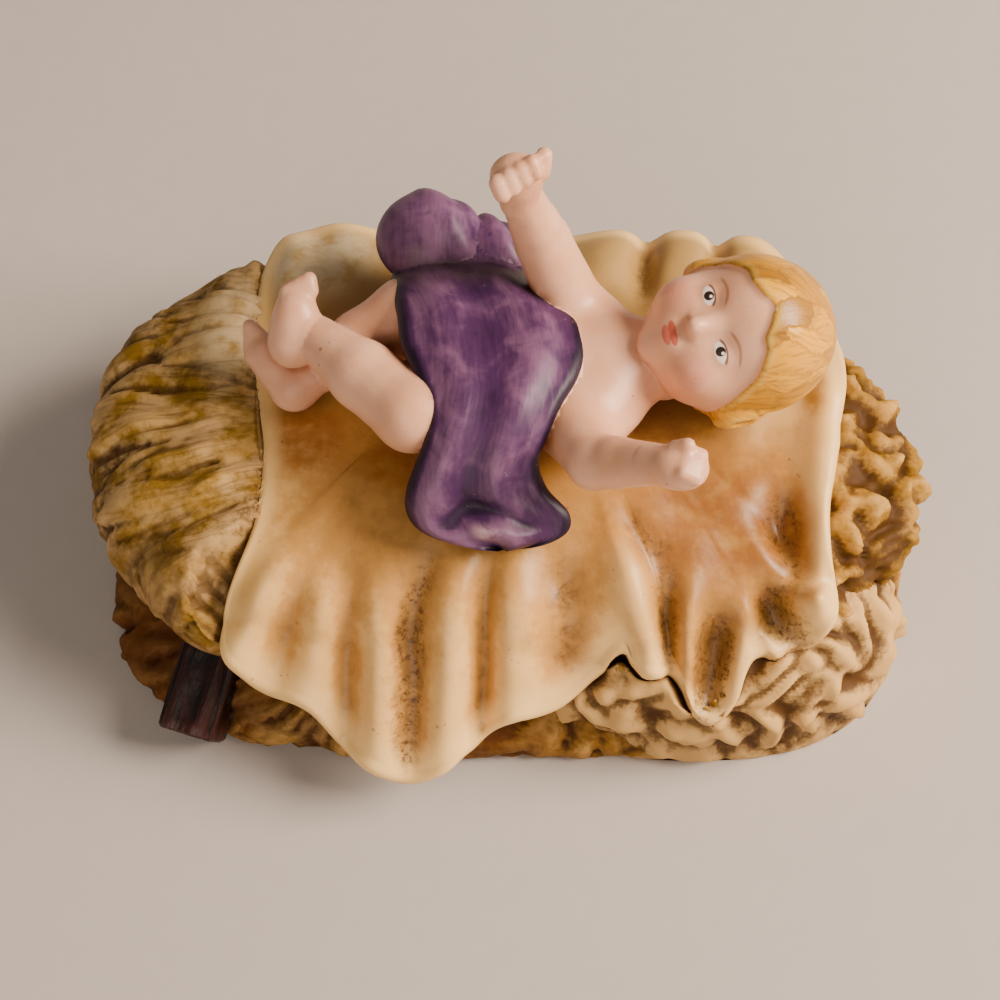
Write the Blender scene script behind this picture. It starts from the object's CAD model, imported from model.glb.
# A painted bisque porcelain baby on a draped sheet over a bed of straw, made as one cast piece.
# Shapes are worked out in millimetres and turned into metres when the mesh is made.
import math
import bpy
import numpy as np
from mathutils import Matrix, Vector
from mathutils.bvhtree import BVHTree
from mathutils.kdtree import KDTree


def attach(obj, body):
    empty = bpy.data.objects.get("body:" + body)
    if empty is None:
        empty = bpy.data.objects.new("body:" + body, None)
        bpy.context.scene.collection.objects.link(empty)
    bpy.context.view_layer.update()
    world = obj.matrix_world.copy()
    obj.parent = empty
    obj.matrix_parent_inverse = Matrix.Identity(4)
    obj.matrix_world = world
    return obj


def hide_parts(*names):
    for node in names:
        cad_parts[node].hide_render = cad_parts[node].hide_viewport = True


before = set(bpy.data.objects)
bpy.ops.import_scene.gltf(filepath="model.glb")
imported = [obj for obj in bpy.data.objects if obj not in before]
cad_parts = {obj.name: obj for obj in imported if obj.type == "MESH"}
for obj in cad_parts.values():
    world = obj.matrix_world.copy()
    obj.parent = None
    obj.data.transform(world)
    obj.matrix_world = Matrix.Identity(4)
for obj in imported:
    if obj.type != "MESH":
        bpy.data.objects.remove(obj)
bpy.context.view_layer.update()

# Driving dimensions, in millimetres

MM = 0.001
PLAN_SHIFT = np.array([-0.087, 0.059, 0.0])

BED_LENGTH = 84.4
BED_WIDTH = 45.0
BED_MIDDLE_Y = 3.2
BED_TOP = 23.0
BED_WAISTLINE = 14.0
BED_UNDERSIDE = 7.5
BED_SPREAD_POWER = 0.55
BED_RISE_POWER = 0.8
OVAL_CORNER = 2.5
OVAL_SKEW = -0.09
FRONT_SKEW_SHARE = 0.2

BASE_LENGTH = 82.0
BASE_WIDTH = 43.0
BASE_MIDDLE_Y = -1.5
BASE_CORNER = 3.0
BASE_HEIGHT = 6.0
CORE_LENGTH = 70.0
CORE_WIDTH = 34.0

SPILL_CENTRE = (19.5, -9.5, 3.5)
SPILL_HALF = (20.5, 14.0, 13.6)

LOG_WIDTH = 6.2

HEM_MARGIN = 0.6
SHEET_THICKNESS = 2.0
SHEET_LIFT = 0.8
SHEET_MIDDLE = 24.8
SHEET_CENTRE = (2.0, 2.0)
# The folds run from a spine round the sheet's middle: its share of the way to the hem, and its shape
SPINE_REACH = 0.35
SPINE_SHARE = (0.6, 0.3)

HEAD_CENTRE = np.array([21.8, 5.6, 34.2])
CROWN_DIRECTION = np.array([0.95, 0.08, 0.30])
FACE_DIRECTION = np.array([-0.28, -0.36, 0.88])

# Places round each body, where its mesh has points
BED_TURNS = 462
BASE_TURNS = 320
CORE_TURNS = 120
SPILL_TURNS = 240
LOG_TURNS = 54
SHEET_TURNS = 400
CLOTH_TURNS = 112
LOBE_TURNS = 48

# The sheet's hem, seen from above, counterclockwise from the front left
HEM = np.array([
    [-27.3, -16.9, 15.0], [-24.8, -20.2, 13.2], [-19.3, -22.1, 11.0], [-16.4, -24.4, 9.0],
    [-13.2, -27.0, 7.2], [-9.6, -27.8, 6.5], [-6.0, -27.2, 7.0], [-3.6, -25.4, 8.6], [-1.6, -23.9, 10.0],
    [1.3, -23.3, 11.2], [5.2, -22.1, 11.8], [8.6, -19.8, 13.8], [11.2, -18.7, 15.2],
    [13.0, -20.5, 14.9], [14.4, -20.6, 15.0], [15.6, -20.1, 15.2], [16.8, -21.2, 14.0],
    [17.8, -22.9, 12.8], [19.4, -23.9, 12.2], [21.0, -23.3, 12.4], [22.1, -21.9, 13.2],
    [22.7, -20.2, 14.6], [23.5, -18.9, 15.6], [24.7, -18.5, 15.8], [25.8, -18.9, 15.6],
    [27.0, -18.3, 16.0], [29.4, -17.8, 17.0], [30.9, -16.4, 17.8], [31.2, -14.4, 18.6],
    [30.5, -11.1, 21.0], [30.4, -7.4, 22.2], [31.2, -2.5, 22.8],
    [32.8, 5.0, 23.4], [33.2, 11.5, 22.6], [31.0, 19.0, 21.0], [27.2, 25.4, 20.5],
    [18.5, 26.4, 20.5], [8.5, 26.6, 20.5], [-3.0, 27.2, 20.5], [-13.3, 27.2, 20.5],
    [-21.0, 26.8, 20.5], [-24.6, 22.8, 21.0], [-25.2, 14.0, 21.5], [-24.4, 6.0, 21.8],
    [-23.4, 0.0, 21.5], [-24.0, -8.0, 19.6],
])

# Folds of the sheet: from, to (seen from above), half width, height and how dirty; a valley is negative
FOLDS = [
    ((-19.0, -9.0), (-26.0, -18.4), 1.3, 1.4, 0.0),
    ((-19.0, -12.5), (-23.0, -20.6), 1.4, -1.3, 0.15),
    ((-16.6, -11.0), (-19.4, -22.4), 1.7, 1.1, 0.0),
    ((-15.0, -10.0), (-15.7, -25.0), 1.1, -1.6, 0.3),
    ((-11.8, -10.5), (-12.4, -27.0), 1.8, 1.3, 0.0),
    ((-6.4, -10.5), (-9.6, -18.0), 1.1, -1.7, 0.7),
    ((-8.6, -16.0), (-9.8, -26.0), 1.3, -1.9, 1.0),
    ((-4.4, -12.0), (-5.8, -26.5), 1.4, 1.5, 0.0),
    ((-1.8, -9.5), (-2.6, -24.5), 0.9, -1.9, 0.45),
    ((0.8, -11.5), (0.8, -23.0), 1.7, 1.4, 0.0),
    ((4.8, -10.0), (5.8, -18.7), 1.6, -1.9, 0.55),
    ((9.2, -8.0), (13.5, -19.4), 1.7, 2.1, 0.0),
    ((13.2, -18.2), (13.6, -19.8), 1.0, 0.8, 0.0),
    ((14.6, -9.0), (15.3, -16.5), 1.3, -1.0, 0.3),
    ((15.2, -13.5), (15.6, -19.6), 0.8, -1.7, 0.4),
    ((17.4, -13.0), (17.6, -22.4), 0.9, 1.5, 0.0),
    ((21.0, -15.6), (19.7, -21.9), 1.45, -3.4, 1.0),
    ((23.6, -14.6), (22.0, -22.0), 0.75, 1.6, 0.0),
    ((23.2, -14.2), (28.2, -17.5), 1.0, -2.9, 1.0),
    ((23.4, -9.0), (29.0, -15.8), 1.3, 1.7, 0.0),
    ((25.8, -4.0), (27.6, -12.6), 1.6, -2.6, 0.7),
    ((33.0, 9.0), (31.0, -2.0), 1.9, 3.0, 0.0),
    ((31.0, -2.0), (29.6, -14.8), 1.5, 2.7, 0.0),
    ((29.2, -14.0), (29.8, -15.6), 1.5, 1.3, 0.0),
    ((11.5, -7.0), (13.0, -11.0), 1.2, -0.5, 0.5),
    ((8.4, 16.0), (11.2, 25.4), 2.6, 2.0, 0.0),
    ((13.6, 15.0), (14.8, 26.0), 0.9, -2.2, 0.4),
    ((18.2, 15.0), (18.6, 25.4), 2.6, 2.0, 0.0),
    ((21.8, 15.0), (22.0, 26.0), 0.8, -2.0, 0.4),
    ((24.8, 17.0), (25.2, 24.6), 2.2, 1.9, 0.0),
    ((-17.5, 15.0), (-17.0, 26.0), 2.8, 2.4, 0.0),
    ((-21.4, 12.0), (-22.4, 24.5), 1.5, 1.8, 0.0),
    ((18.0, 6.0), (27.0, 7.0), 5.0, 2.4, 0.0),
]

# Numbers and curves


def lerp(a, b, t):
    return a + (b - a) * t


def smooth_step(low, high, value):
    """0 at low, 1 at high and smooth between; high may be the lower of the two."""
    t = np.clip((value - low) / (high - low), 0.0, 1.0)
    return t * t * (3.0 - 2.0 * t)


def signed_power(value, power):
    return np.sign(value) * np.abs(value) ** power


def unit(vector):
    vector = np.asarray(vector, dtype=float)
    return vector / np.maximum(np.linalg.norm(vector, axis=-1, keepdims=True), 1e-12)


def curve_points(controls, places, closed=False):
    """A Catmull-Rom curve through the control points, at places from 0 to 1."""
    controls = np.asarray(controls, dtype=float)
    count = len(controls)
    spans = count if closed else count - 1
    at = np.asarray(places, dtype=float) * spans
    index = np.floor(at).astype(int)
    if closed:
        pick = lambda step: controls[(index + step) % count]
    else:
        index = np.clip(index, 0, spans - 1)
        pick = lambda step: controls[np.clip(index + step, 0, count - 1)]
    t = (at - index)[..., None]
    before, start, end, after = pick(-1), pick(0), pick(1), pick(2)
    return 0.5 * (
        2 * start
        + (end - before) * t
        + (2 * before - 5 * start + 4 * end - after) * t ** 2
        + (3 * start - before - 3 * end + after) * t ** 3
    )


def soft_noise(points, scale, seed):
    """Smooth noise from -1 to 1 at points in millimetres; scale is the size of its lumps."""
    rng = np.random.default_rng(seed)
    size = 32
    table = rng.uniform(-1.0, 1.0, (size, size, size))
    far_off = 1000.0
    place = np.asarray(points) / scale + far_off
    cell = np.floor(place).astype(int)
    part = place - cell
    part = part * part * (3.0 - 2.0 * part)
    total = 0.0
    for corner in np.ndindex(2, 2, 2):
        weight = np.abs(1 - np.array(corner) - part).prod(axis=-1)
        index = (cell + corner) % size
        total = total + weight * table[index[..., 0], index[..., 1], index[..., 2]]
    return total


# Closed grid bodies: rings of points between two poles


class Body:
    """A closed mesh in millimetres, and the numbers for the paint that its points carry."""

    def __init__(self, name, points, faces, finish, tone=None, flow=None):
        count = len(points)
        self.name = name
        self.points = points
        self.faces = faces
        self.finish = finish
        self.tone = np.zeros(count) if tone is None else tone
        self.flow = np.zeros((count, 3)) if flow is None else flow


def ring_faces(rings, turns):
    """Faces between the rings, and triangles from the first and the last ring to the poles."""
    faces = []
    last = 1 + rings * turns
    for step in range(turns):
        after = (step + 1) % turns
        faces.append((0, 1 + step, 1 + after))
        base = 1 + (rings - 1) * turns
        faces.append((last, base + after, base + step))
    rows = np.arange(rings - 1)[:, None]
    steps = np.arange(turns)[None, :]
    after = (steps + 1) % turns
    low = 1 + rows * turns
    quads = np.stack([low + steps, low + turns + steps, low + turns + after, low + after], axis=-1)
    return faces + [tuple(q) for q in quads.reshape(-1, 4).tolist()]


def signed_volume(points, faces):
    total = 0.0
    for face in faces[:: max(1, len(faces) // 4000)]:
        a, b, c = points[face[0]], points[face[1]], points[face[2]]
        total += np.dot(a, np.cross(b, c))
    return total


def grid_body(name, finish, rings, tone=None, flow=None):
    """rings[row, step] are points; each end is closed by a pole at its ring's middle."""
    count, turns = rings.shape[:2]
    points = np.concatenate([[rings[0].mean(axis=0)], rings.reshape(-1, 3), [rings[-1].mean(axis=0)]])
    faces = ring_faces(count, turns)
    if signed_volume(points - points.mean(axis=0), faces) < 0:
        faces = [face[::-1] for face in faces]
    if tone is not None:
        tone = np.concatenate([[tone[0].mean()], tone.ravel(), [tone[-1].mean()]])
    if flow is not None:
        flow = np.concatenate([[[0.0, 0.0, 0.0]], flow.reshape(-1, 3), [[0.0, 0.0, 0.0]]])
    return Body(name, points, faces, finish, tone, flow)


def outward(rings):
    """Normals of the rings, pointing away from the middle of each body."""
    around = np.roll(rings, -1, axis=1) - np.roll(rings, 1, axis=1)
    along = np.gradient(rings, axis=0)
    normal = np.cross(around, along)
    length = np.linalg.norm(normal, axis=-1, keepdims=True)
    normal = normal / np.maximum(length, 1e-9)
    middle = rings.reshape(-1, 3).mean(axis=0)
    if np.sum(normal * (rings - middle)) < 0:
        normal = -normal
    return normal


# Straw: overlapping tufts, each a lens of parallel curved strands


def straw_relief(across_mm, down_mm, around_mm, tufts, floor=-0.4):
    """Height, tone and strand flow from tufts laid out on a surface measured in millimetres.

    The flow is the place across and along the strands, in millimetres, and how plainly they show."""
    height = np.full(across_mm.shape, floor)
    tone = np.zeros(across_mm.shape)
    flow = np.zeros(across_mm.shape + (3,))
    for tuft in tufts:
        reach = max(tuft["length"], tuft["width"]) * 1.3
        across = (across_mm - tuft["at"][0] + around_mm / 2) % around_mm - around_mm / 2
        down = down_mm - tuft["at"][1]
        near = np.nonzero((np.abs(across) < reach) & (np.abs(down) < reach))
        if len(near[0]) == 0:
            continue
        across = across[near]
        down = down[near]
        along = (down * math.cos(tuft["turn"]) + across * math.sin(tuft["turn"])) / tuft["length"]
        side = (across * math.cos(tuft["turn"]) - down * math.sin(tuft["turn"])) / tuft["width"]
        side = side + tuft["curl"] * (along ** 2 - 0.3)
        # Outline of a tuft: a flame is widest near its foot, and a dome is alike at both ends
        held = np.clip(along, -0.999, 0.999)
        flame = (1.0 - held) ** 0.7 * (1.0 + held) ** 0.3 * 0.92
        dome = np.sqrt(1.0 - held ** 2)
        narrow = lerp(dome, flame, tuft["pointed"])
        within = np.clip(1.0 - (side / np.maximum(narrow, 0.05)) ** 2, 0.0, 1.0)
        within = np.sqrt(within * np.clip(1.0 - along ** 6, 0.0, 1.0))
        profile = lerp(dome, 0.62 + 0.38 * held, tuft["pointed"])
        rise = tuft["height"] * within ** 0.8 * profile
        rise = np.where(within > 0.03, rise, -9.0)
        wins = rise > height[near]
        place = tuple(axis[wins] for axis in near)
        height[place] = rise[wins]
        tone[place] = tuft["tone"]
        flow[place] = np.stack([
            (side * tuft["width"] + tuft["phase"])[wins],
            (along * tuft["length"])[wins],
            np.clip(within * 1.5, 0.0, 1.0)[wins],
        ], axis=-1)
    return height, tone, flow


def lay_tufts(seed, around_mm, down_range, spacing, length, width, height, lean, curl, pointed):
    """Tufts on a jittered grid; lean and curl are each a middle and a spread."""
    rng = np.random.default_rng(seed)
    tufts = []
    columns = int(around_mm / spacing[0])
    rows = int((down_range[1] - down_range[0]) / spacing[1]) + 1
    for row in range(rows):
        for column in range(columns):
            u = (column + 0.5 * (row % 2) + rng.uniform(-0.35, 0.35)) * around_mm / columns
            v = down_range[0] + (row + rng.uniform(-0.35, 0.35)) * spacing[1]
            tufts.append({
                "at": (u, v),
                "length": length * rng.uniform(0.75, 1.25),
                "width": width * rng.uniform(0.75, 1.25),
                "height": height * rng.uniform(0.55, 1.2),
                "turn": lean[0] + lean[1] * rng.uniform(-1, 1),
                "curl": curl[0] + curl[1] * rng.uniform(-1, 1),
                "phase": rng.uniform(0, 40.0),
                "pointed": pointed,
                "tone": rng.uniform(-1, 1),
            })
    return tufts


def skew_share(across):
    """How much of the skew shows, from the bed's front edge at -1 to its back edge at 1."""
    return lerp(FRONT_SKEW_SHARE, 1.0, smooth_step(-0.6, 0.6, across))


def oval(turn, length, width, middle_y, spread, corner=OVAL_CORNER, skew=OVAL_SKEW):
    """A rounded oblong seen from above; its back is skewed more than its front."""
    angle = turn * 2 * math.pi
    x = spread * length / 2 * signed_power(np.cos(angle), 2 / corner)
    across = signed_power(np.sin(angle), 2 / corner)
    return x, middle_y + spread * width / 2 * across + skew * skew_share(across) * x


def even_turns(count):
    """Places around the oval that lie about evenly along its edge."""
    fine = np.linspace(0.0, 1.0, 4001)
    x, y = oval(fine, BED_LENGTH, BED_WIDTH, 0.0, 1.0)
    run = np.concatenate([[0.0], np.cumsum(np.hypot(np.diff(x), np.diff(y)))])
    return np.interp(np.arange(count) / count * run[-1], run, fine), run[-1]


def bed_surface(turn, slope):
    """Points of the plain bed; the slope goes from 0 at its top to half a turn underneath."""
    spread = np.sin(slope) ** BED_SPREAD_POWER
    rise = signed_power(np.cos(slope), BED_RISE_POWER)
    half = np.where(rise > 0, BED_TOP - BED_WAISTLINE, BED_WAISTLINE - BED_UNDERSIDE)
    x, y = oval(turn, BED_LENGTH, BED_WIDTH, BED_MIDDLE_Y, spread)
    return np.stack([x, y, BED_WAISTLINE + half * rise], axis=-1)


def straw_places(rings, around_mm):
    """Distances in millimetres round a body and down its rows, for the straw that is laid on it."""
    rows, turns = rings.shape[:2]
    across = np.arange(turns) / turns * around_mm
    step = np.linalg.norm(np.diff(rings, axis=0), axis=-1).mean(axis=1)
    down = np.concatenate([[0.0], np.cumsum(step)])
    return np.broadcast_to(across, (rows, turns)), np.broadcast_to(down[:, None], (rows, turns))


def tucked(rings):
    """Lowers the straw under the sheet and just in front of its hem, so that none shows through it."""
    rings = rings.copy()
    x, y = rings[..., 0], rings[..., 1]
    outside, hem_height = beyond_hem(x, y)
    under = sheet_level(x, y) - SHEET_THICKNESS * 0.95
    allowed = np.where(outside < -HEM_MARGIN, under, hem_height - 0.3 + 2.5 * (outside + HEM_MARGIN))
    in_front = hem_height - 1.2 + 0.6 * smooth_step(0.0, 0.8, outside) + 0.8 * np.maximum(outside, 0.0)
    front = smooth_step(-7.0, -13.0, y) * smooth_step(-1.2, -0.8, outside)
    allowed = lerp(allowed, np.minimum(under, in_front), front)
    allowed = np.where(outside > 4.0, rings[..., 2], allowed)
    rings[..., 2] = np.minimum(rings[..., 2], np.maximum(allowed, 1.0))
    return rings


KNOB_SHARPNESS = 11.0
# Turns the cells of the knobs away from the axes, so that their rows don't show
LATTICE_WAYS = ((0.62, 0.52, -0.58), (-0.64, 0.77, 0.0))
LATTICE_TURN = unit(np.array([*LATTICE_WAYS, np.cross(*LATTICE_WAYS)]))


def lumps(points, size, seed, lengthening, lean=(0.0, 0.0, 0.0)):
    """Rounded knobs, drawn out along the lean if there is one, as height up to about 1 and tone."""
    rng = np.random.default_rng(seed)
    count = 16
    far_off = 100.0
    jitter = rng.uniform(0.05, 0.95, (count, count, count, 3))
    ways = unit(rng.normal(0.0, 1.0, (count, count, count, 3)) + 1.6 * np.array(lean))
    tones = rng.uniform(-1.0, 1.0, (count, count, count))
    place = points / size + far_off
    cell = np.floor(place).astype(int)
    total = np.zeros(points.shape[:-1])
    tone = np.zeros(points.shape[:-1])
    for step in np.ndindex(3, 3, 3):
        near = cell + np.array(step) - 1
        index = tuple((near % count)[..., axis] for axis in range(3))
        away = near + jitter[index] - place
        along = np.sum(away * ways[index], axis=-1)
        apart = np.sum(away ** 2, axis=-1) - lengthening * along ** 2
        share = np.exp(-KNOB_SHARPNESS * apart)
        total = total + share
        tone = tone + share * tones[index]
    return np.clip(total, 0.0, None) ** (1.0 / 3.0), tone / np.maximum(total, 1e-9)


def warped(points, scale, amount):
    """Moves the points about in soft waves of that length."""
    x, y, z = (points[..., axis] * 2 * math.pi / scale for axis in range(3))
    waves = np.stack([
        np.sin(0.8 * y + 0.6 * z + 1.3) + 0.6 * np.sin(1.5 * z - 1.1 * y + 0.5 * x),
        np.sin(0.7 * z - 0.7 * x + 4.1) + 0.6 * np.sin(1.3 * x + 1.2 * z - 0.4 * y),
        np.sin(0.9 * x + 0.5 * y + 2.2) + 0.6 * np.sin(1.4 * y - 1.2 * x + 0.6 * z),
    ], axis=-1)
    return (points + 0.5 * amount * waves) @ LATTICE_TURN.T


def knotted_straw(points):
    """Knobs of curled straw with dents in them, as height in millimetres and tone."""
    places = warped(points, 9.0, 1.2)
    knob, tone = lumps(places, 3.2, 64, 0.8)
    small, _ = lumps(places, 1.6, 65, 0.7)
    dent = smooth_step(0.2, 0.75, soft_noise(places, 1.5, 66))
    grain = 0.2 * soft_noise(places, 0.9, 69)
    return 2.7 * (knob - 0.64) + 1.0 * (small - 0.7) - 0.5 * dent + grain, tone


def flame_straw(points):
    """Pale curls that lick down to the right, as height in millimetres and tone."""
    places = warped(points, 13.0, 2.6)
    flame, tone = lumps(places, 3.4, 67, 0.87, LATTICE_TURN @ np.array((0.6, -0.5, -0.6)))
    fine = soft_noise(places, 1.2, 68)
    return 3.2 * (flame - 0.68) + 0.25 * fine, tone


def grooves(flow, width_mm, length_mm, seed):
    """Soft grooves that run with the strands, from -1 to 1."""
    across, along = flow[..., 0], flow[..., 1]
    places = np.stack([across / width_mm, along / length_mm, np.zeros_like(across)], axis=-1)
    return soft_noise(places, 1.0, seed)


def straw_bed():
    turns, around_mm = even_turns(BED_TURNS)
    slopes = np.concatenate([[0.12, 0.26], np.linspace(0.40, 2.05, 52), [2.25, 2.5, 2.8]])
    turn, slope = np.meshgrid(turns, slopes)
    rings = bed_surface(turn, slope)
    normal = outward(rings)
    across, down = straw_places(rings, around_mm)
    across = across + 1.5 * soft_noise(rings, 6.0, 14)
    locks, tone, flow = straw_relief(across, down, around_mm, lay_tufts(
        3, around_mm, (8.0, 36.0), (5.6, 4.4), 8.0, 3.3, 1.7, (0.15, 0.5), (0.1, 0.9), 0.75), -0.2)
    combed = 1.05 * locks + 0.34 * grooves(flow, 1.1, 6.0, 15) + 0.14 * grooves(flow, 0.55, 4.0, 16)
    combed = combed + 0.8 * soft_noise(rings, 8.0, 11)
    knobs, knob_tone = knotted_straw(rings)
    right = smooth_step(-2.0, 8.0, rings[..., 0] + 3.0 * soft_noise(rings, 6.0, 5))
    showing = smooth_step(0.40, 0.6, slope) * (1.0 - smooth_step(2.2, 2.6, slope))
    height = lerp(combed, knobs, right) + 0.3 * soft_noise(rings, 4.0, 12)
    outside, _ = beyond_hem(rings[..., 0], rings[..., 1])
    nest = smooth_step(-0.5, 1.5, outside) * smooth_step(10.0, 3.0, outside)
    nest = nest * smooth_step(-12.0, -20.0, rings[..., 0])
    rings = rings + normal * (height * showing + 1.3 * nest)[..., None]
    wash = lerp(0.7 * (combed - 0.4) + 0.35 * tone, 0.9 * knobs - 0.15 + 0.35 * knob_tone, right)
    flow = np.stack([flow[..., 0], flow[..., 1], 1.0 - right], axis=-1)
    return grid_body("straw", "straw", tucked(rings), np.clip(wash, -1, 1), flow)


# The base's outline from the middle of its underside to its top: share of its spread, and height
BASE_PROFILE = np.array([
    [0.5, 0.0], [0.965, 0.0], [0.99, 0.3], [1.0, 0.8], [1.0, 1.5], [1.0, 2.2], [0.99, 3.0],
    [0.97, 3.7], [0.94, 4.4], [0.90, 5.0], [0.86, 5.5], [0.8, 5.9], [0.7, 6.0], [0.5, 6.0],
])


def base_body():
    turns, around_mm = even_turns(BASE_TURNS)
    last = len(BASE_PROFILE) - 1
    rows = np.concatenate([[0.0], np.linspace(1, last - 1, 24), [last]])
    spread, level = (np.interp(rows, np.arange(last + 1), column) for column in BASE_PROFILE.T)
    turn = np.broadcast_to(turns, (len(rows), len(turns)))
    x, y = oval(turn, BASE_LENGTH, BASE_WIDTH, BASE_MIDDLE_Y, spread[:, None], BASE_CORNER, 0.0)
    rings = np.stack([x, y, np.broadcast_to(level[:, None], x.shape)], axis=-1)
    normal = outward(rings)
    across, down = straw_places(rings, around_mm)
    height, tone, flow = straw_relief(across, down, around_mm, lay_tufts(
        21, around_mm, (8.0, 36.0), (3.8, 3.2), 4.6, 1.6, 1.3, (0.5, 0.8), (0.0, 1.1), 0.85))
    height = height + 0.25 * grooves(flow, 0.8, 4.0, 22)
    tone = np.clip(1.7 * height - 0.7 + 0.4 * tone, -1, 1)
    rings = rings + normal * (height * smooth_step(0.2, 1.2, rings[..., 2]))[..., None]
    rings[..., 2] = np.maximum(rings[..., 2], 0.0)
    return grid_body("base", "straw", rings, tone, flow)


def core_body():
    turns, _ = even_turns(CORE_TURNS)
    x, y = oval(turns, CORE_LENGTH, CORE_WIDTH, 0.0, 1.0)
    levels = np.linspace(BASE_HEIGHT - 2.0, BED_UNDERSIDE + 2.0, 4)
    rings = np.stack([np.stack([x, y, np.full_like(x, level)], axis=-1) for level in levels])
    return grid_body("core", "straw", rings)


def straw_spill():
    turns = np.arange(SPILL_TURNS) / SPILL_TURNS
    polar = np.concatenate([[0.15, 0.35], np.linspace(0.5, 1.78, 36)])
    turn, angle = np.meshgrid(turns, polar)
    spread = np.where(angle < math.pi / 2, np.sin(np.minimum(angle, math.pi / 2)) ** 0.6, 1.0)
    rings = np.stack([
        SPILL_CENTRE[0] + SPILL_HALF[0] * spread * signed_power(np.cos(turn * 2 * math.pi), 0.85),
        SPILL_CENTRE[1] + SPILL_HALF[1] * spread * signed_power(np.sin(turn * 2 * math.pi), 0.85),
        SPILL_CENTRE[2] + SPILL_HALF[2] * signed_power(np.cos(angle), 0.6),
    ], axis=-1)
    normal = outward(rings)
    height, tone = flame_straw(rings)
    height = np.where(height > 0, height * smooth_step(-0.5, 3.0, rings[..., 2]), height * 0.7)
    rings = rings + normal * (height * (1.0 - smooth_step(1.7, 1.78, angle)))[..., None]
    rings[..., 2] = np.maximum(rings[..., 2], 0.0)
    tone = np.clip(0.9 * height - 0.05 + 0.3 * tone, -1, 1)
    return grid_body("spill", "straw", tucked(rings), tone)


# Squared logs that splay out from under the bed


def log_body(name, foot, head):
    foot = np.array(foot)
    head = np.array(head)
    length = np.linalg.norm(head - foot)
    axis = (head - foot) / length
    side = unit(np.cross(axis, (0.0, 0.0, 1.0)))
    lift = np.cross(side, axis)
    angle = np.arange(LOG_TURNS) / LOG_TURNS * 2 * math.pi
    section = signed_power(np.cos(angle), 0.5)[:, None] * side
    section = section + signed_power(np.sin(angle), 0.5)[:, None] * lift
    rows = 18
    share = np.concatenate([[0.0, 0.0, 0.0], np.linspace(0.02, 1.0, rows)])[:, None]
    scale = np.concatenate([[0.45, 0.82, 0.94], np.ones(rows)])[:, None]
    groove = 0.045 * np.cos(angle * 9 + 1.4 * np.sin(share * 5)) + 0.03 * np.cos(angle * 17 + share * 4)
    radius = LOG_WIDTH / 2 * scale * (1.0 + groove)
    rings = foot + axis * (length * share)[..., None] + section * radius[..., None]
    around, along = np.broadcast_arrays(angle * LOG_WIDTH / 2, share * length)
    return grid_body(name, "wood", rings, None, np.stack([around, along, np.ones_like(around)], axis=-1))


# The sheet


def bed_height(x, y):
    """Height of the plain bed's upper side, or 0 outside it."""
    across = np.abs(2 * x / BED_LENGTH) ** OVAL_CORNER
    share = skew_share(2 * (y - BED_MIDDLE_Y - 0.6 * OVAL_SKEW * x) / BED_WIDTH)
    away = np.abs(2 * (y - BED_MIDDLE_Y - OVAL_SKEW * share * x) / BED_WIDTH) ** OVAL_CORNER
    spread = (across + away) ** (1 / OVAL_CORNER)
    slope = np.arcsin(np.clip(spread, 0, 1) ** (1 / BED_SPREAD_POWER))
    height = BED_WAISTLINE + (BED_TOP - BED_WAISTLINE) * np.cos(slope) ** BED_RISE_POWER
    return np.where(spread < 1.0, height, 0.0)


def fold_height(x, y):
    """How far the folds lift or lower the sheet, and how dirty it is there from 0 to 1."""
    height = np.zeros_like(x)
    dirt = np.zeros_like(x)
    for start, end, width, size, dirty in FOLDS:
        run_x = end[0] - start[0]
        run_y = end[1] - start[1]
        length = math.hypot(run_x, run_y)
        along = ((x - start[0]) * run_x + (y - start[1]) * run_y) / length
        aside = ((x - start[0]) * run_y - (y - start[1]) * run_x) / length
        beyond = np.maximum(0.0, np.maximum(-along, along - length))
        grown = smooth_step(-0.1, 0.6, along / length)
        shape = grown * np.exp(-(aside ** 2 + 0.7 * beyond ** 2) / (2 * width ** 2))
        height = height + size * shape
        dirt = dirt + dirty * shape
    return height, np.clip(dirt, 0.0, 1.0)


def soft_larger(a, b, width):
    """The larger of two values, rounded where they are nearly equal."""
    mix = np.clip(0.5 + 0.5 * (a - b) / width, 0.0, 1.0)
    return lerp(b, a, mix) + width * mix * (1.0 - mix)


def hem_points(turn):
    """Points of the hem for shares of a turn round it, closer together where the hem winds."""
    fine = np.linspace(0.0, 1.0, 2001)
    edge = curve_points(HEM, fine, closed=True)
    run = np.concatenate([[0.0], np.cumsum(np.linalg.norm(np.diff(edge, axis=0), axis=1))])
    even = np.interp(turn, run / run[-1], fine)
    return curve_points(HEM, lerp(turn, even, 0.6), closed=True)


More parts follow.
